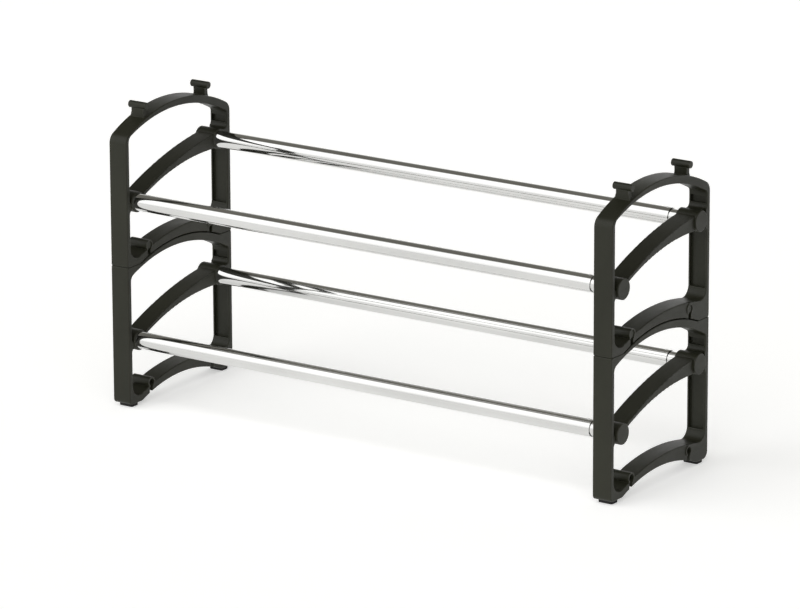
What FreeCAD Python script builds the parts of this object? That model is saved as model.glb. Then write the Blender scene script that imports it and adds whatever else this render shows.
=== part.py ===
"""Tiered shoe rack: two stacked tiers, each with a left and a right moulded end frame
joined by two telescopic steel rails, one low at the front and one high at the back.

Frame of the whole part: X along the rails from left to right, Y from front to back,
Z up. The origin is in the middle of the footprint, on the surface the rack stands on.
An end frame's own frame has X = 0 in the middle of its band, Y = 0 at the outer face
of the front post and Z = 0 at the floor of its tier. All lengths are millimetres.
"""

import FreeCAD, Part
import math
import os

import Sketcher

doc = FreeCAD.newDocument("ShoeRack")

# ------------------------------------------------------------ driving dimensions

DIMENSIONS = [
    # whole rack
    ("rack_width", 650, "outer face of the left frames to outer face of the right ones"),
    ("rack_depth", 192, "front face of the front posts to rear face of the back posts"),
    ("tier_pitch", 157, "height of one tier"),
    # section of an end frame
    ("band_width", 23, "width of posts and rails along X"),
    ("post_depth", 6, "depth of a post along Y"),
    ("long_edge_rounding", 1.2, "rounding of the long edges of the mouldings"),
    # underside
    ("foot_height", 4, "underside of the posts above the floor of the tier"),
    ("front_foot", 23, "flat length of the front foot"),
    ("back_foot", 21, "flat length of the back foot"),
    ("arch_radius", 190.6, "radius of the arch under the bottom rail"),
    ("foot_end_rounding", 8, "rounding where a foot ends and the arch starts"),
    ("toe_rounding", 5, "rounding of the outer corner of a front foot on the floor"),
    ("heel_rounding", 8, "rounding of the outer corner of a back foot on the floor"),
    # top side
    ("crown_front", 149, "height where the crown meets the front face"),
    ("crown_back", 149.5, "height where the crown meets the rear face"),
    ("crown_radius", 192, "radius of the top of the crown"),
    ("shoulder_rounding", 12, "rounding of the upper outer corners of the top tier"),
    ("seat_front", 25, "length of the seat for the front foot of the next tier"),
    ("seat_back", 23.5, "length of the seat for the back foot of the next tier"),
    ("seat_end_rounding", 4, "hollow rounding between a seat and the crown"),
    ("seat_rounding", 1.4, "rounding of the outer edges where two tiers meet"),
    # windows
    ("crown_under_front", 149, "underside of the crown at the front post"),
    ("crown_under_back", 142.5, "underside of the crown at the back post"),
    ("crown_under_radius", 200, "radius of the underside of the crown"),
    ("rail_top_front", 70.5, "top of the middle rail at the front post"),
    ("rail_top_back", 123.5, "top of the middle rail at the back post"),
    ("rail_top_radius", 440, "radius of the top of the middle rail"),
    ("rail_under_front", 65.5, "underside of the middle rail at the front post"),
    ("rail_under_back", 102.5, "underside of the middle rail at the back post"),
    ("rail_under_radius", 295, "radius of the underside of the middle rail"),
    ("base_top_front", 6, "top of the bottom rail at the front post"),
    ("base_top_back", 22.5, "top of the bottom rail at the back post"),
    ("base_top_radius", 270, "radius of the top of the bottom rail"),
    ("window_rounding", 5, "rounding of most corners of the windows"),
    ("crown_corner_rounding", 8, "rounding of the upper front corner under the crown"),
    ("gusset_rounding", 12, "rounding of the lower corners of the bottom window"),
    # channels in the inner sides of the posts
    ("groove_depth", 3.5, "depth of a channel"),
    ("groove_lip", 2, "thickness of the two lips beside a channel"),
    ("front_low_groove_bottom", 22, "lower end of the front channel, bottom window"),
    ("front_low_groove_top", 60, "upper end of the front channel, bottom window"),
    ("front_high_groove_bottom", 77, "lower end of the front channel, top window"),
    ("front_high_groove_top", 142, "upper end of the front channel, top window"),
    ("back_low_groove_bottom", 36, "lower end of the back channel, bottom window"),
    ("back_low_groove_top", 97, "upper end of the back channel, bottom window"),
    ("back_high_groove_bottom", 129, "lower end of the back channel, top window"),
    ("back_high_groove_top", 137, "upper end of the back channel, top window"),
    # sockets that hold the tubes
    ("front_tube_inset", 19.6, "axis of the front tube behind the front face"),
    ("front_tube_height", 74.8, "height of that axis"),
    ("back_tube_inset", 21, "axis of the back tube before the rear face"),
    ("back_tube_height", 113.5, "height of that axis"),
    ("socket_radius", 11.5, "outer radius of a socket"),
    ("socket_rounding", 0.8, "rounding of a socket's rims"),
    ("socket_boss", 2.5, "how far a socket's closed end stands out of the frame"),
    ("socket_floor", 4, "thickness of that closed end"),
    ("socket_collar", 1, "how far a socket's mouth stands out of the frame"),
    ("socket_clearance", 0.05, "clearance of a tube in its socket"),
    ("recess_depth", 3.5, "depth of the recess between a post and its socket"),
    ("recess_wall", 1.5, "wall left between that recess and the inner side of the post"),
    ("recess_height", 25, "height of that recess"),
    # tubes
    ("outer_tube_radius", 9.5, "outer radius of the outer tube"),
    ("inner_tube_radius", 8.3, "outer radius of the inner tube"),
    ("tube_wall", 0.8, "wall of either tube"),
    ("outer_tube_gap", 34.5, "end of the outer tube before the right outer face"),
    ("inner_tube_length", 540.5, "length of the inner tube"),
    ("dimple_inset", 5, "centre of the stop dimple before the outer tube's end"),
    ("dimple_radius", 9, "radius of the ball that presses the stop dimple"),
    ("dimple_depth", 0.3, "depth of the stop dimple"),
    # glides on the hidden ends of the inner tubes
    ("glide_clearance", 0.08, "running clearance of the glide ring in the outer tube"),
    ("glide_length", 12, "length of the glide ring"),
    ("spigot_length", 14, "length of the glide's spigot in the inner tube"),
    ("glide_hole", 5, "radius of the hole through the glide"),
    # stacking pegs and keyholes
    ("peg_inset", 39, "axis of a stacking peg from the nearer outer face"),
    ("peg_height", 178.5, "height of the axis of a peg's head"),
    ("peg_radius", 4, "radius of the head, a short rod along X"),
    ("peg_rounding", 0.6, "rounding of the head's ends"),
    ("neck_width", 15.5, "width of the neck along X under the head"),
    ("neck_foot_width", 20, "width of the neck along X at its root"),
    ("neck_flare", 8, "height over which the neck widens"),
    ("neck_thickness", 5, "thickness of the neck along Y"),
    ("front_neck_root", 163.5, "height where the front neck starts inside the crown"),
    ("back_neck_root", 161, "height where the back neck starts inside the crown"),
    ("keyhole_clearance", 0.3, "clearance of a keyhole round the peg, on each side"),
    ("keyhole_wall", 1.6, "wall of the ring round a keyhole"),
    ("keyhole_boss", 0.8, "how far that ring stands out of the frame"),
    # foot pads
    ("pad_length", 18, "length of a foot pad along X"),
    ("pad_width", 12, "width of a foot pad along Y"),
    ("front_pad_inset", 12.5, "centre of a front pad from the front face"),
    ("back_pad_inset", 11.5, "centre of a back pad from the rear face"),
    ("pad_corner_rounding", 2.5, "rounding of the pad's upright edges"),
    ("pad_edge_rounding", 0.8, "rounding of the pad's edge on the floor"),
    ("stud_radius", 2.2, "radius of the stud that plugs into the foot"),
    ("stud_height", 6, "height of that stud"),
    ("stud_clearance", 0.05, "clearance of the stud in its hole"),
]

sizes = doc.addObject("Spreadsheet::Sheet", "Sizes")
for row, (alias, value, meaning) in enumerate(DIMENSIONS, start=1):
    sizes.set(f"A{row}", alias)
    sizes.set(f"B{row}", str(value))
    sizes.setAlias(f"B{row}", alias)
    sizes.set(f"C{row}", meaning)
doc.recompute()

# Sizes worked out from the sheet, as expressions on its aliases
HALF_BAND = "(Sizes.band_width / 2)"
BACK_POST = "(Sizes.rack_depth - Sizes.post_depth)"
SEAT_HEIGHT = "(Sizes.tier_pitch + Sizes.foot_height)"
KEYHOLE_HEIGHT = "(Sizes.peg_height - Sizes.tier_pitch)"
KEYHOLE_RADIUS = "(Sizes.peg_radius + Sizes.keyhole_clearance)"
SLOT_HALF = "(Sizes.neck_thickness / 2 + Sizes.keyhole_clearance)"
FLOOR_INSET = "(Sizes.socket_floor - Sizes.socket_boss)"
TUBE_BORE = "(Sizes.outer_tube_radius - Sizes.tube_wall)"
OUTER_TUBE_LENGTH = f"(Sizes.rack_width - Sizes.outer_tube_gap - {FLOOR_INSET})"
PEG_PLACES = ("Sizes.peg_inset", "(Sizes.rack_depth - Sizes.peg_inset)")
TUBE_PLACES = {
    "front": ("Sizes.front_tube_inset", "Sizes.front_tube_height"),
    "back": ("(Sizes.rack_depth - Sizes.back_tube_inset)", "Sizes.back_tube_height"),
}
PAD_PLACES = {
    "front": "Sizes.front_pad_inset",
    "back": "(Sizes.rack_depth - Sizes.back_pad_inset)",
}
TIER_FLOORS = {"lower": "0", "upper": "Sizes.tier_pitch"}
LEFT, RIGHT = "left", "right"
TOLERANCE = 1e-4


def size(expression):
    """Value of an expression on the sheet, as a plain number."""
    return float(sizes.evalExpression(expression))


# ------------------------------------------------------------ sketches


def new_sketch(body, name, plane="YZ_Plane", offset="0"):
    """Empty sketch on one of the body's own origin planes, or `offset` from it."""
    sketch = body.newObject("Sketcher::SketchObject", name)
    origin_plane = next(f for f in body.Origin.OriginFeatures if f.Role == plane)
    sketch.AttachmentSupport = [(origin_plane, "")]
    sketch.MapMode = "FlatFace"
    sketch.setExpression("AttachmentOffset.Base.z", offset)
    return sketch


def bind(sketch, constraint, expression):
    """Adds a dimension to a sketch and ties it to the sheet."""
    index = sketch.addConstraint(constraint)
    sketch.setExpression(f"Constraints[{index}]", expression)


def pin(sketch, geometry, point, across, up):
    """Ties one point of a sketch to its two coordinates."""
    origin = (-1, 1)
    upright_axis, level_axis = -2, -1
    for kind, axis, place in (("DistanceX", upright_axis, across), ("DistanceY", level_axis, up)):
        value = size(place)
        if abs(value) < TOLERANCE:
            sketch.addConstraint(Sketcher.Constraint("PointOnObject", geometry, point, axis))
        elif value > 0:
            limit = Sketcher.Constraint(kind, *origin, geometry, point, value)
            bind(sketch, limit, place)
        else:
            limit = Sketcher.Constraint(kind, geometry, point, *origin, -value)
            bind(sketch, limit, f"-({place})")


def crowned_arc(start, end, radius):
    """Arc between two points that bulges upwards, drawn from the right point to the left."""
    right, left = (start, end) if start.x > end.x else (end, start)
    chord = left - right
    down = FreeCAD.Vector(-chord.y, chord.x, 0).normalize()
    centre = (left + right) / 2 + down * math.sqrt(radius**2 - (chord.Length / 2) ** 2)
    angles = [math.atan2(p.y - centre.y, p.x - centre.x) for p in (right, left)]
    return Part.ArcOfCircle(Part.Circle(centre, FreeCAD.Vector(0, 0, 1), radius), *angles)


def draw_outline(sketch, corners):
    """Closed outline. A corner is (across, up) or, where an arc crowned upwards leads
    on to the next corner, (across, up, radius)."""
    points = [FreeCAD.Vector(size(c[0]), size(c[1]), 0) for c in corners]
    starts, ends = [], []
    for i, corner in enumerate(corners):
        start, end = points[i], points[(i + 1) % len(points)]
        if len(corner) == 3:
            curve = crowned_arc(start, end, size(corner[2]))
            first, last = (2, 1) if start.x < end.x else (1, 2)
        else:
            curve = Part.LineSegment(start, end)
            first, last = 1, 2
        index = sketch.addGeometry(curve, False)
        starts.append((index, first))
        ends.append((index, last))
    for i, corner in enumerate(corners):
        sketch.addConstraint(Sketcher.Constraint("Coincident", *ends[i - 1], *starts[i]))
        pin(sketch, *starts[i], corner[0], corner[1])
        if len(corner) == 3:
            arc = starts[i][0]
            bind(sketch, Sketcher.Constraint("Radius", arc, size(corner[2])), corner[2])


def draw_rectangle(sketch, left, bottom, right, top):
    """Upright rectangle between two pairs of coordinates."""
    draw_outline(sketch, [(left, bottom), (right, bottom), (right, top), (left, top)])


def draw_circle(sketch, across, up, radius):
    """Circle with its centre and radius tied to the sheet."""
    centre = FreeCAD.Vector(size(across), size(up), 0)
    circle = Part.Circle(centre, FreeCAD.Vector(0, 0, 1), size(radius))
    index = sketch.addGeometry(circle, False)
    pin(sketch, index, 3, across, up)
    bind(sketch, Sketcher.Constraint("Radius", index, size(radius)), radius)


# ------------------------------------------------------------ features


def extrude(body, kind, sketch, along, against="0"):
    """Pad or Pocket reaching `along` the sketch plane's normal and `against` it."""
    before = body.Tip.Shape.Volume if body.Tip else 0
    feature = body.newObject(f"PartDesign::{kind}", f"{sketch.Name}{kind}")
    feature.Profile = sketch
    feature.Reversed = kind == "Pocket"
    feature.setExpression("Length", along)
    if against != "0":
        feature.SideType = "Two sides"
        feature.setExpression("Length2", against)
    sketch.Visibility = False
    doc.recompute()
    if "Invalid" in feature.State or not feature.Shape.isValid():
        raise RuntimeError(f"{body.Label}: {feature.Name} fails")
    change = feature.Shape.Volume - before
    if (change > TOLERANCE) != (kind == "Pad") or abs(change) < TOLERANCE:
        raise RuntimeError(f"{body.Label}: {feature.Name} changes the volume by {change}")


def round_edges(body, name, radius, wanted):
    """Rounds the edges of the body so far that `wanted` accepts."""
    base = body.Tip
    names = [f"Edge{i}" for i, edge in enumerate(base.Shape.Edges, 1) if wanted(edge)]
    if not names:
        raise RuntimeError(f"{body.Label}: no edge for {name}")
    fillet = body.newObject("PartDesign::Fillet", name)
    fillet.Base = (base, names)
    fillet.setExpression("Radius", radius)
    doc.recompute()
    if "Invalid" in fillet.State or not 0 < fillet.Shape.Volume or not fillet.Shape.isValid():
        raise RuntimeError(f"{body.Label}: {name} can't be rounded")


def ends_of(edge):
    return edge.Vertexes[0].Point, edge.Vertexes[-1].Point


def runs_along_x(edge):
    start, end = ends_of(edge)
    return abs(start.x - end.x) > 1 and math.hypot(start.y - end.y, start.z - end.z) < TOLERANCE


def through_corners(corners):
    """Test for an edge along X through one of the (y, z) corners."""
    places = [(size(y), size(z)) for y, z in corners]

    def wanted(edge):
        point = edge.Vertexes[0].Point
        return runs_along_x(edge) and any(
            math.hypot(point.y - y, point.z - z) < TOLERANCE for y, z in places
        )

    return wanted


def on_side_face(edge):
    """Test for an edge that lies in one of the frame's two side faces."""
    half = size(HALF_BAND)
    return not runs_along_x(edge) and all(abs(abs(p.x) - half) < TOLERANCE for p in ends_of(edge))


def circle_round_x(radius, beyond):
    """Test for a whole circle about a line along X, no nearer the middle than `beyond`."""
    nearly = 0.01

    def wanted(edge):
        box = edge.BoundBox
        far_out = abs(box.Center.x) > size(beyond) - nearly
        across = (box.YLength, box.ZLength)
        is_circle = all(abs(length - 2 * size(radius)) < nearly for length in across)
        return box.XLength < nearly and far_out and is_circle

    return wanted


# ------------------------------------------------------------ end frames

UNDERSIDE = [
    ("0", "Sizes.foot_height"),
    ("Sizes.front_foot", "Sizes.foot_height", "Sizes.arch_radius"),
    ("(Sizes.rack_depth - Sizes.back_foot)", "Sizes.foot_height"),
    ("Sizes.rack_depth", "Sizes.foot_height"),
]
TOPSIDE = {
    "upper": [
        ("Sizes.rack_depth", "Sizes.crown_back", "Sizes.crown_radius"),
        ("0", "Sizes.crown_front"),
    ],
    "lower": [
        ("Sizes.rack_depth", SEAT_HEIGHT),
        ("(Sizes.rack_depth - Sizes.seat_back)", SEAT_HEIGHT, "Sizes.crown_radius"),
        ("Sizes.seat_front", SEAT_HEIGHT),
        ("0", SEAT_HEIGHT),
    ],
}
UPPER_WINDOW = [
    ("Sizes.post_depth", "Sizes.rail_top_front", "Sizes.rail_top_radius"),
    (BACK_POST, "Sizes.rail_top_back"),
    (BACK_POST, "Sizes.crown_under_back", "Sizes.crown_under_radius"),
    ("Sizes.post_depth", "Sizes.crown_under_front"),
]
LOWER_WINDOW = [
    ("Sizes.post_depth", "Sizes.base_top_front", "Sizes.base_top_radius"),
    (BACK_POST, "Sizes.base_top_back"),
    (BACK_POST, "Sizes.rail_under_back", "Sizes.rail_under_radius"),
    ("Sizes.post_depth", "Sizes.rail_under_front"),
]


def add_band(body, tier):
    """The band itself: outline less its two windows, all corners and long edges rounded."""
    sketch = new_sketch(body, "Outline")
    draw_outline(sketch, UNDERSIDE + TOPSIDE[tier])
    draw_outline(sketch, UPPER_WINDOW)
    draw_outline(sketch, LOWER_WINDOW)
    extrude(body, "Pad", sketch, HALF_BAND, HALF_BAND)
    toe, heel = UNDERSIDE[0], UNDERSIDE[-1]
    top_corners = [TOPSIDE[tier][0][:2], TOPSIDE[tier][-1]]
    if tier == "upper":
        round_edges(body, "Shoulders", "Sizes.shoulder_rounding", through_corners(top_corners))
        meeting = [toe, heel]
    else:
        round_edges(body, "Toe", "Sizes.toe_rounding", through_corners([toe]))
        round_edges(body, "Heel", "Sizes.heel_rounding", through_corners([heel]))
        seat_ends = [corner[:2] for corner in TOPSIDE[tier][1:3]]
        round_edges(body, "SeatEnds", "Sizes.seat_end_rounding", through_corners(seat_ends))
        meeting = top_corners
    round_edges(body, "Meeting", "Sizes.seat_rounding", through_corners(meeting))
    foot_ends = [UNDERSIDE[i][:2] for i in (1, 2)]
    round_edges(body, "FootEnds", "Sizes.foot_end_rounding", through_corners(foot_ends))
    gussets = [corner[:2] for corner in LOWER_WINDOW[:2]]
    round_edges(body, "Gussets", "Sizes.gusset_rounding", through_corners(gussets))
    crown_corner = [UPPER_WINDOW[-1]]
    round_edges(body, "CrownCorner", "Sizes.crown_corner_rounding", through_corners(crown_corner))
    others = [corner[:2] for corner in UPPER_WINDOW[:-1] + LOWER_WINDOW[2:]]
    round_edges(body, "WindowCorners", "Sizes.window_rounding", through_corners(others))
    round_edges(body, "LongEdges", "Sizes.long_edge_rounding", on_side_face)


def cut_grooves(body):
    """Channels in the inner sides of both posts, open towards the windows."""
    sketch = new_sketch(body, "Grooves")
    clear = 1
    reaches = {
        "front": ("(Sizes.post_depth - Sizes.groove_depth)", f"(Sizes.post_depth + {clear})"),
        "back": (f"({BACK_POST} - {clear})", f"({BACK_POST} + Sizes.groove_depth)"),
    }
    for post, (near, far) in reaches.items():
        for level in ("low", "high"):
            groove = f"Sizes.{post}_{level}_groove"
            draw_rectangle(sketch, near, f"{groove}_bottom", far, f"{groove}_top")
    half = f"({HALF_BAND} - Sizes.groove_lip)"
    extrude(body, "Pocket", sketch, half, half)


def add_sockets(body, side):
    """Blind sockets for the front and back tubes. The mouths face the other frame, the
    closed ends stand out as round bosses beside a recess in the outer face."""
    inward = f"({HALF_BAND} + Sizes.socket_collar)"
    outward = f"({HALF_BAND} + Sizes.socket_boss)"
    recesses = new_sketch(body, "Recesses", offset=f"-{HALF_BAND}" if side == LEFT else HALF_BAND)
    rims = new_sketch(body, "Rims")
    bores = new_sketch(body, "Bores")
    tube = "outer" if side == LEFT else "inner"
    bore = f"(Sizes.{tube}_tube_radius + Sizes.socket_clearance)"
    edges = {
        "front": "(Sizes.post_depth + Sizes.recess_wall)",
        "back": f"({BACK_POST} - Sizes.recess_wall)",
    }
    for post, (across, up) in TUBE_PLACES.items():
        near, far = sorted((edges[post], across), key=size)
        half_height = "Sizes.recess_height / 2"
        draw_rectangle(recesses, near, f"({up} - {half_height})", far, f"({up} + {half_height})")
        draw_circle(rims, across, up, "Sizes.socket_radius")
        draw_circle(bores, across, up, bore)
    clear = "1"
    if side == LEFT:
        extrude(body, "Pocket", recesses, "Sizes.recess_depth")
        extrude(body, "Pad", rims, inward, outward)
    else:
        extrude(body, "Pocket", recesses, clear, "Sizes.recess_depth")
        extrude(body, "Pad", rims, outward, inward)
    outer_rim = circle_round_x("Sizes.socket_radius", inward)
    round_edges(body, "SocketEdges", "Sizes.socket_rounding", outer_rim)
    closed_end = f"({outward} - Sizes.socket_floor)"
    mouth = f"({inward} + {clear})"
    extrude(body, "Pocket", bores, *((mouth, closed_end) if side == LEFT else (closed_end, mouth)))


def add_keyholes(body):
    """Ringed channels along X in the bottom rail, open at the underside, that slide over
    the pegs of the tier below."""
    rings = new_sketch(body, "KeyholeRings")
    holes = new_sketch(body, "KeyholeBores")
    slots = new_sketch(body, "KeyholeSlots")
    reach = f"({HALF_BAND} + Sizes.keyhole_boss)"
    for across in PEG_PLACES:
        draw_circle(rings, across, KEYHOLE_HEIGHT, f"({KEYHOLE_RADIUS} + Sizes.keyhole_wall)")
        draw_circle(holes, across, KEYHOLE_HEIGHT, KEYHOLE_RADIUS)
        left, right = f"({across} - {SLOT_HALF})", f"({across} + {SLOT_HALF})"
        draw_rectangle(slots, left, "Sizes.foot_height", right, KEYHOLE_HEIGHT)
    extrude(body, "Pad", rings, reach, reach)
    extrude(body, "Pocket", holes, reach, reach)
    extrude(body, "Pocket", slots, reach, reach)


def add_pegs(body):
    """Stacking pegs on the crown: a rod along X on a flat neck that widens downwards."""
    heads = new_sketch(body, "PegHeads")
    for across in PEG_PLACES:
        draw_circle(heads, across, "Sizes.peg_height", "Sizes.peg_radius")
    extrude(body, "Pad", heads, HALF_BAND, HALF_BAND)
    ends = circle_round_x("Sizes.peg_radius", HALF_BAND)
    round_edges(body, "PegEnds", "Sizes.peg_rounding", ends)
    wide, narrow = "(Sizes.neck_foot_width / 2)", "(Sizes.neck_width / 2)"
    for post, across in zip(("front", "back"), PEG_PLACES):
        root = f"Sizes.{post}_neck_root"
        shoulder = f"({root} + Sizes.neck_flare)"
        neck = new_sketch(body, f"{post.capitalize()}Neck", "XZ_Plane", f"-{across}")
        corners = [
            (f"-{wide}", root),
            (wide, root),
            (narrow, shoulder),
            (narrow, "Sizes.peg_height"),
            (f"-{narrow}", "Sizes.peg_height"),
            (f"-{narrow}", shoulder),
        ]
        draw_outline(neck, corners)
        half = "Sizes.neck_thickness / 2"
        extrude(body, "Pad", neck, half, half)


def add_stud_holes(body):
    """Blind holes in the undersides of both feet for the studs of the foot pads."""
    sketch = new_sketch(body, "StudHoles", "XY_Plane", "Sizes.foot_height")
    for across in PAD_PLACES.values():
        draw_circle(sketch, "0", across, "(Sizes.stud_radius + Sizes.stud_clearance)")
    extrude(body, "Pocket", sketch, "(Sizes.stud_height + Sizes.stud_clearance)")


def make_frame(tier, side):
    """One moulded end frame."""
    body = doc.addObject("PartDesign::Body", f"frame_{tier}_{side}")
    add_band(body, tier)
    cut_grooves(body)
    add_sockets(body, side)
    add_keyholes(body)
    add_pegs(body)
    if tier == "lower":
        add_stud_holes(body)
    sign = "-" if side == LEFT else ""
    middle = f"{sign}(Sizes.rack_width - Sizes.band_width) / 2"
    place(body, middle, "-Sizes.rack_depth / 2", TIER_FLOORS[tier])
    return body


# ------------------------------------------------------------ tubes, glides and foot pads


def place(item, x, y, z):
    """Ties an object's position to the sheet."""
    for axis, expression in zip("xyz", (x, y, z)):
        item.setExpression(f"Placement.Base.{axis}", expression)


def rod(name, radius, length, start="0"):
    """Cylinder along X whose near end is at `start`."""
    cylinder = doc.addObject("Part::Cylinder", name)
    cylinder.Placement.Rotation = FreeCAD.Rotation(FreeCAD.Vector(0, 1, 0), 90)
    cylinder.setExpression("Radius", radius)
    cylinder.setExpression("Height", length)
    cylinder.setExpression("Placement.Base.x", start)
    return cylinder


def ball(name, radius, along, up):
    """Sphere with its centre above the X axis."""
    sphere = doc.addObject("Part::Sphere", name)
    sphere.setExpression("Radius", radius)
    place(sphere, along, "0", up)
    return sphere


def combine(kind, name, base, tool):
    """Boolean of two objects: Cut, Fuse or Common."""
    result = doc.addObject(f"Part::{kind}", name)
    result.Base, result.Tool = base, tool
    return result


def make_outer_tube(name):
    """Tube with a stop dimple pressed into its top near the open end."""
    barrel = rod(f"{name}_barrel", "Sizes.outer_tube_radius", OUTER_TUBE_LENGTH)
    bore = rod(f"{name}_bore", TUBE_BORE, OUTER_TUBE_LENGTH)
    tube = combine("Cut", f"{name}_plain", barrel, bore)
    along = f"({OUTER_TUBE_LENGTH} - Sizes.dimple_inset)"
    up = "(Sizes.outer_tube_radius - Sizes.dimple_depth + Sizes.dimple_radius)"
    swell = ball(f"{name}_swell", "(Sizes.dimple_radius + Sizes.tube_wall)", along, up)
    envelope = rod(f"{name}_envelope", "Sizes.outer_tube_radius", OUTER_TUBE_LENGTH)
    bump = combine("Common", f"{name}_bump", swell, envelope)
    with_bump = combine("Fuse", f"{name}_with_bump", tube, bump)
    press = ball(f"{name}_press", "Sizes.dimple_radius", along, up)
    return combine("Cut", name, with_bump, press)


def make_inner_tube(name):
    """Plain tube that slides in the outer one."""
    length = "Sizes.inner_tube_length"
    barrel = rod(f"{name}_barrel", "Sizes.inner_tube_radius", length)
    bore = rod(f"{name}_bore", "(Sizes.inner_tube_radius - Sizes.tube_wall)", length)
    return combine("Cut", name, barrel, bore)


def make_glide(name):
    """Ring that guides the inner tube's hidden end, with a spigot plugged into it."""
    radius = f"({TUBE_BORE} - Sizes.glide_clearance)"
    ring = rod(f"{name}_ring", radius, "Sizes.glide_length")
    spigot_radius = "(Sizes.inner_tube_radius - Sizes.tube_wall - Sizes.socket_clearance)"
    length = "(Sizes.glide_length + Sizes.spigot_length)"
    spigot = rod(f"{name}_spigot", spigot_radius, length)
    solid = combine("Fuse", f"{name}_solid", ring, spigot)
    hole = rod(f"{name}_hole", "Sizes.glide_hole", length)
    return combine("Cut", name, solid, hole)


def make_foot_pad(name):
    """Soft pad under a foot, with a stud on top that plugs into the foot."""
    body = doc.addObject("PartDesign::Body", name)
    sole = new_sketch(body, f"{name}_sole", "XY_Plane")
    half_length, half_width = "(Sizes.pad_length / 2)", "(Sizes.pad_width / 2)"
    draw_rectangle(sole, f"-{half_length}", f"-{half_width}", half_length, half_width)
    extrude(body, "Pad", sole, "Sizes.foot_height")

    def upright(edge):
        start, end = ends_of(edge)
        return abs(start.z - end.z) > 1

    def on_floor(edge):
        return all(abs(point.z) < TOLERANCE for point in ends_of(edge))

    round_edges(body, f"{name}_corners", "Sizes.pad_corner_rounding", upright)
    round_edges(body, f"{name}_edge", "Sizes.pad_edge_rounding", on_floor)
    stud = new_sketch(body, f"{name}_stud", "XY_Plane", "Sizes.foot_height")
    draw_circle(stud, "0", "0", "Sizes.stud_radius")
    extrude(body, "Pad", stud, "Sizes.stud_height")
    return body


# ------------------------------------------------------------ assembly

nodes = []

for tier in TIER_FLOORS:
    for side in (LEFT, RIGHT):
        nodes.append(make_frame(tier, side))

tube_start = f"(-Sizes.rack_width / 2 + {FLOOR_INSET})"
inner_start = f"(-{tube_start} - Sizes.inner_tube_length)"
for tier, floor in TIER_FLOORS.items():
    for post, (across, up) in TUBE_PLACES.items():
        y, z = f"{across} - Sizes.rack_depth / 2", f"{floor} + {up}"
        outer = make_outer_tube(f"outer_tube_{tier}_{post}")
        place(outer, tube_start, y, z)
        inner = make_inner_tube(f"inner_tube_{tier}_{post}")
        place(inner, inner_start, y, z)
        glide = make_glide(f"glide_{tier}_{post}")
        place(glide, f"{inner_start} - Sizes.glide_length", y, z)
        nodes += [outer, inner, glide]

for side, sign in ((LEFT, "-"), (RIGHT, "")):
    for post, across in PAD_PLACES.items():
        pad = make_foot_pad(f"foot_pad_{side}_{post}")
        middle = f"{sign}(Sizes.rack_width - Sizes.band_width) / 2"
        place(pad, middle, f"{across} - Sizes.rack_depth / 2", "0")
        nodes.append(pad)

doc.recompute()

# ------------------------------------------------------------ checks and export

for item in doc.Objects:
    if {"Invalid", "Error"} & set(item.State):
        raise RuntimeError(f"{item.Label} is in state {item.State}")
for node in nodes:
    if node.Shape.isNull() or not node.Shape.isValid():
        raise RuntimeError(f"{node.Label} has no valid shape")
    if len(node.Shape.Solids) != 1:
        raise RuntimeError(f"{node.Label} has {len(node.Shape.Solids)} solids")

os.makedirs("parts", exist_ok=True)
for node in nodes:
    node.Shape.exportStep(f"parts/{node.Label}.step")
    box = node.Shape.BoundBox
    print(
        f"{node.Label:24s} x {box.XMin:8.2f} {box.XMax:8.2f}  y {box.YMin:8.2f} {box.YMax:8.2f}"
        f"  z {box.ZMin:7.2f} {box.ZMax:7.2f}  volume {node.Shape.Volume:10.1f}"
    )
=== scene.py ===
"""Looks for the tiered shoe rack: moulded charcoal end frames and bright plated rails,
on a plain pale floor. Metres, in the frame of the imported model: X along the rails,
Y from front to back, Z up from the floor."""

import math

import bpy
from mathutils import Matrix, Vector


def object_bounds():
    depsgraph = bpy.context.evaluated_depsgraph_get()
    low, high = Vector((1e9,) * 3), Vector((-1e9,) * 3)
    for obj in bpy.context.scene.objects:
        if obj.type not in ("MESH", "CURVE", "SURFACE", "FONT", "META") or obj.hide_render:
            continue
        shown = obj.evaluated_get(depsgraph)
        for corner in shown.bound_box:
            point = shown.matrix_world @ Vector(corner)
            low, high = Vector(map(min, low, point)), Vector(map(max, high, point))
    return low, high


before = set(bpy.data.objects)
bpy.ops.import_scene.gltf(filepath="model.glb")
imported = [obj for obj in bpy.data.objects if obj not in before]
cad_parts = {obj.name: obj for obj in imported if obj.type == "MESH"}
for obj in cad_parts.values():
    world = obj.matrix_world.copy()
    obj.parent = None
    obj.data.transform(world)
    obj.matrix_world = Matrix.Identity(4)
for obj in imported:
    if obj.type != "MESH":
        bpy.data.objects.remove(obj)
cad_low, cad_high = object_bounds()


# ------------------------------------------------------------ material helpers


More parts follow.
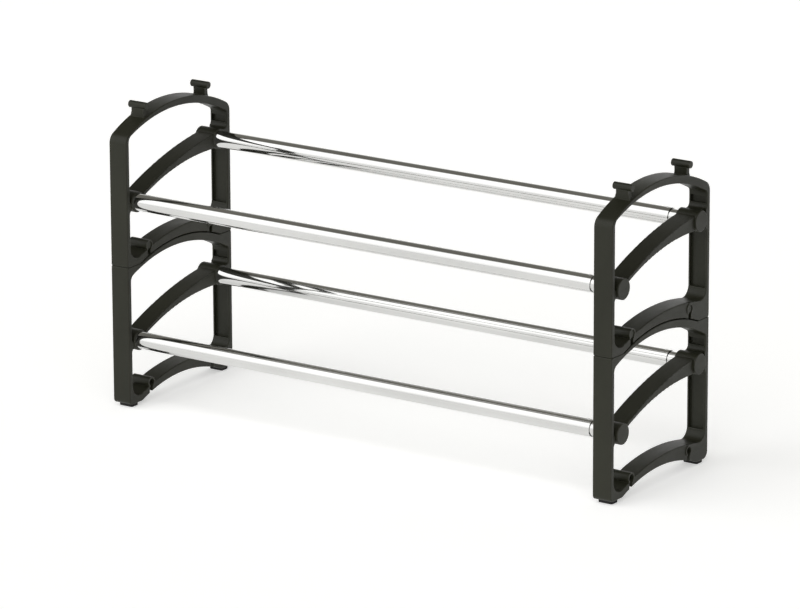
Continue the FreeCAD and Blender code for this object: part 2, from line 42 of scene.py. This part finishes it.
class Material:
    """A node material with one Principled shader and its object coordinates."""

    def __init__(self, name):
        self.material = bpy.data.materials.new(name)
        self.material.use_nodes = True
        self.nodes = self.material.node_tree.nodes
        self.links = self.material.node_tree.links
        self.shader = self.nodes["Principled BSDF"]
        self.coordinates = self.nodes.new("ShaderNodeTexCoord").outputs["Object"]

    def feed(self, target, value):
        """Links a socket to `target`, or sets it when `value` is a plain number or colour."""
        if isinstance(value, bpy.types.NodeSocket):
            self.links.new(value, target)
        else:
            target.default_value = value

    def noise(self, scale, detail=2.0, roughness=0.5, stretch=(1, 1, 1)):
        """Noise of `scale` grains a metre, drawn out along the axes in `stretch`."""
        mapping = self.nodes.new("ShaderNodeMapping")
        mapping.inputs["Scale"].default_value = stretch
        self.links.new(self.coordinates, mapping.inputs["Vector"])
        texture = self.nodes.new("ShaderNodeTexNoise")
        texture.inputs["Scale"].default_value = scale
        texture.inputs["Detail"].default_value = detail
        texture.inputs["Roughness"].default_value = roughness
        self.links.new(mapping.outputs["Vector"], texture.inputs["Vector"])
        return texture.outputs["Fac"]

    def spread(self, value, low, high, to_low=0.0, to_high=1.0):
        """Maps the range low..high of a value to another range, clamped."""
        node = self.nodes.new("ShaderNodeMapRange")
        self.feed(node.inputs["Value"], value)
        limits = {"From Min": low, "From Max": high, "To Min": to_low, "To Max": to_high}
        for socket, number in limits.items():
            node.inputs[socket].default_value = number
        return node.outputs["Result"]

    def math(self, operation, first, second):
        node = self.nodes.new("ShaderNodeMath")
        node.operation = operation
        self.feed(node.inputs[0], first)
        self.feed(node.inputs[1], second)
        return node.outputs["Value"]

    def blend(self, factor, first, second):
        """Mixes two colours."""
        node = self.nodes.new("ShaderNodeMix")
        node.data_type = "RGBA"
        self.feed(node.inputs["Factor"], factor)
        self.feed(node.inputs[6], first)
        self.feed(node.inputs[7], second)
        return node.outputs[2]

    def worn_edges(self, radius):
        """1 along the edges of the piece, 0 on its flats."""
        bevel = self.nodes.new("ShaderNodeBevel")
        bevel.samples = 4
        bevel.inputs["Radius"].default_value = radius
        geometry = self.nodes.new("ShaderNodeNewGeometry")
        turn = self.nodes.new("ShaderNodeVectorMath")
        turn.operation = "DOT_PRODUCT"
        self.links.new(bevel.outputs["Normal"], turn.inputs[0])
        self.links.new(geometry.outputs["Normal"], turn.inputs[1])
        return self.spread(turn.outputs["Value"], 0.995, 0.93)

    def bumps(self, *layers):
        """Stacks (height, strength, depth in metres) layers into the shader's normal."""
        normal = None
        for height, strength, depth in layers:
            bump = self.nodes.new("ShaderNodeBump")
            bump.inputs["Strength"].default_value = strength
            bump.inputs["Distance"].default_value = depth
            self.links.new(height, bump.inputs["Height"])
            if normal:
                self.links.new(normal, bump.inputs["Normal"])
            normal = bump.outputs["Normal"]
        self.links.new(normal, self.shader.inputs["Normal"])

    def set(self, **sockets):
        """Feeds shader sockets, named with underscores for spaces."""
        for name, value in sockets.items():
            self.feed(self.shader.inputs[name.replace("_", " ")], value)


def moulded_plastic(name, dark, pale, grain, roughness, edge_tint):
    """Matt injection-moulded plastic: spark-eroded grain, flow clouds, rubbed edges."""
    look = Material(name)
    clouds = look.noise(9.0, 4.0, 0.6, (1.0, 1.0, 0.6))
    scuffs = look.noise(70.0, 5.0, 0.7, (1.0, 0.35, 1.0))
    pits = look.noise(grain, 3.0, 0.65)
    edges = look.worn_edges(0.0012)
    rubbed = look.math("MULTIPLY", edges, look.spread(scuffs, 0.35, 0.65, 0.35, 1.0))
    body = look.blend(look.spread(clouds, 0.35, 0.65), dark, pale)
    speckled = look.blend(look.spread(pits, 0.52, 0.72, 0.0, 0.35), body, edge_tint)
    colour = look.blend(look.math("MULTIPLY", rubbed, 0.8), speckled, edge_tint)
    gloss = look.spread(scuffs, 0.3, 0.7, roughness + 0.07, roughness - 0.06)
    look.set(
        Base_Color=colour,
        Roughness=look.math("SUBTRACT", gloss, look.math("MULTIPLY", rubbed, 0.12)),
        Specular_IOR_Level=0.27,
    )
    look.bumps((pits, 0.35, 0.00012), (scuffs, 0.12, 0.0002), (clouds, 0.25, 0.0006))
    return look.material


def plated_steel(name, tint):
    """Bright plating on drawn tube: faint lengthwise draw lines, haze and tiny specks."""
    look = Material(name)
    lines = look.noise(900.0, 3.0, 0.6, (0.006, 1.0, 1.0))
    haze = look.noise(14.0, 4.0, 0.55, (0.4, 1.0, 1.0))
    specks = look.noise(2600.0, 1.0, 0.4)
    hazy = look.spread(haze, 0.38, 0.66, 0.0, 1.0)
    dull = tuple(0.9 * channel for channel in tint[:3]) + (1.0,)
    colour = look.blend(hazy, tint, dull)
    spots = look.spread(specks, 0.74, 0.8, 0.0, 0.35)
    speck_colour = (0.35, 0.34, 0.31, 1.0)
    look.set(
        Metallic=1.0,
        Base_Color=look.blend(spots, colour, speck_colour),
        Roughness=look.math("ADD", look.spread(haze, 0.35, 0.7, 0.05, 0.1),
                            look.spread(lines, 0.4, 0.6, 0.0, 0.02)),
    )
    look.bumps((lines, 0.02, 0.00003), (haze, 0.05, 0.0003))
    return look.material


def soft_rubber(name):
    """Dusty matt rubber."""
    look = Material(name)
    dust = look.noise(160.0, 4.0, 0.7)
    fine = look.noise(1800.0, 2.0, 0.6)
    edges = look.worn_edges(0.001)
    clean, dusty, rubbed = (0.012, 0.012, 0.012, 1), (0.05, 0.048, 0.044, 1), (0.09, 0.088, 0.08, 1)
    tone = look.blend(look.spread(dust, 0.45, 0.75), clean, dusty)
    look.set(
        Base_Color=look.blend(look.math("MULTIPLY", edges, 0.5), tone, rubbed),
        Roughness=look.spread(dust, 0.3, 0.7, 0.7, 0.95),
        Specular_IOR_Level=0.3,
    )
    look.bumps((fine, 0.3, 0.0001), (dust, 0.25, 0.0002))
    return look.material


# ------------------------------------------------------------ looks of the pieces

charcoal = moulded_plastic(
    "charcoal_plastic",
    dark=(0.0105, 0.0111, 0.0050, 1),
    pale=(0.0175, 0.0181, 0.0098, 1),
    grain=1500.0,
    roughness=0.43,
    edge_tint=(0.060, 0.060, 0.047, 1),
)
natural = moulded_plastic(
    "natural_plastic",
    dark=(0.42, 0.42, 0.39, 1),
    pale=(0.52, 0.52, 0.48, 1),
    grain=1200.0,
    roughness=0.42,
    edge_tint=(0.62, 0.61, 0.58, 1),
)
bright = plated_steel("bright_plating", (0.70, 0.70, 0.69, 1))
rubber = soft_rubber("foot_rubber")

LOOKS = {"frame": charcoal, "outer_tube": bright, "inner_tube": bright, "glide": natural,
         "foot_pad": rubber}
for name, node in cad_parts.items():
    look = next(look for prefix, look in LOOKS.items() if name.startswith(prefix))
    node.data.materials.clear()
    node.data.materials.append(look)


# ------------------------------------------------------------ floor, light and camera


def make_floor(half_size):
    """One large square of plain pale floor with a faint cloudiness and a glow of its own,
    which keeps it near white where the rack shades it."""
    mesh = bpy.data.meshes.new("floor")
    corners = [(-1, -1), (1, -1), (1, 1), (-1, 1)]
    mesh.from_pydata([(half_size * x, half_size * y, 0) for x, y in corners], [], [(0, 1, 2, 3)])
    floor = bpy.data.objects.new("floor", mesh)
    bpy.context.scene.collection.objects.link(floor)
    look = Material("pale_floor")
    cloud = look.noise(0.8, 3.0, 0.5)
    look.set(
        Base_Color=look.blend(cloud, (0.80, 0.80, 0.795, 1), (0.82, 0.82, 0.815, 1)),
        Roughness=0.9,
        Specular_IOR_Level=0.1,
        Emission_Color=(1.0, 1.0, 0.995, 1),
        Emission_Strength=0.46,
    )
    mesh.materials.append(look.material)


def make_surroundings(bands, dim_side):
    """Studio walls and ceiling as bands of light that run along X. A band is (degrees
    from the back horizon up over the top towards the front, brightness, tint). Below the
    horizon the first band goes on. Straight to the right only the share `dim_side` of
    that light is left, fading in over the sines `fade_start` to `fade_end`."""
    fade_start, fade_end = 0.35, 0.95
    world = bpy.data.worlds.new("studio")
    bpy.context.scene.world = world
    world.use_nodes = True
    nodes, links = world.node_tree.nodes, world.node_tree.links
    direction = nodes.new("ShaderNodeTexCoord").outputs["Generated"]
    parts = nodes.new("ShaderNodeSeparateXYZ")
    links.new(direction, parts.inputs["Vector"])
    angle = nodes.new("ShaderNodeMath")
    angle.operation = "ARCTAN2"
    links.new(parts.outputs["Z"], angle.inputs[0])
    links.new(parts.outputs["Y"], angle.inputs[1])
    share = nodes.new("ShaderNodeMapRange")
    share.inputs["From Max"].default_value = math.pi
    links.new(angle.outputs["Value"], share.inputs["Value"])
    ramp = nodes.new("ShaderNodeValToRGB")
    links.new(share.outputs["Result"], ramp.inputs["Fac"])
    top = max(level for _, level, _ in bands)
    stops = ramp.color_ramp.elements
    while len(stops) < len(bands):
        stops.new(0.5)
    for stop, (degrees, level, tint) in zip(stops, bands):
        stop.position = degrees / 180
        stop.color = tuple(level / top * channel for channel in tint) + (1.0,)
    sideways = nodes.new("ShaderNodeMapRange")
    links.new(parts.outputs["X"], sideways.inputs["Value"])
    fade = {"From Min": fade_start, "From Max": fade_end, "To Min": top, "To Max": dim_side * top}
    for socket, number in fade.items():
        sideways.inputs[socket].default_value = number
    background = nodes["Background"]
    links.new(ramp.outputs["Color"], background.inputs["Color"])
    links.new(sideways.outputs["Result"], background.inputs["Strength"])


NEUTRAL, WARM = (1.0, 1.0, 0.995), (1.0, 0.97, 0.86)
FLOOR_HALF_SIZE = 14.0
STUDIO_BANDS = [
    (0, 1.15, NEUTRAL),
    (22, 1.10, NEUTRAL),
    (34, 0.20, WARM),
    (98, 0.17, WARM),
    (110, 1.70, NEUTRAL),
    (150, 1.60, NEUTRAL),
    (168, 1.30, NEUTRAL),
    (180, 0.85, NEUTRAL),
]
make_floor(FLOOR_HALF_SIZE)
make_surroundings(STUDIO_BANDS, dim_side=0.1)


def make_camera(yaw, pitch, roll, distance, lens, aside, above):
    """Camera turned `yaw` to the right of straight ahead and `pitch` down, looking from
    `distance` at a point a little `aside` and `above` the middle of the rack."""
    yaw, pitch, roll = (math.radians(angle) for angle in (yaw, pitch, roll))
    right = Vector((math.cos(yaw), math.sin(yaw), 0))
    ahead = Vector((-math.sin(yaw) * math.cos(pitch), math.cos(yaw) * math.cos(pitch),
                    -math.sin(pitch)))
    up = right.cross(ahead)
    data = bpy.data.cameras.new("camera")
    data.lens = lens
    camera = bpy.data.objects.new("camera", data)
    bpy.context.scene.collection.objects.link(camera)
    place = (cad_low + cad_high) / 2 - ahead * distance + right * aside + up * above
    turned_right = right * math.cos(roll) + up * math.sin(roll)
    turned_up = up * math.cos(roll) - right * math.sin(roll)
    axes = Matrix((turned_right, turned_up, -ahead)).transposed().to_4x4()
    camera.matrix_world = Matrix.Translation(place) @ axes
    bpy.context.scene.camera = camera


make_camera(yaw=34.58, pitch=16.01, roll=-0.24, distance=6.415, lens=267.8, aside=-0.0059,
            above=-0.0237)
bpy.context.scene.view_settings.view_transform = "Standard"
bpy.context.scene.view_settings.look = "None"
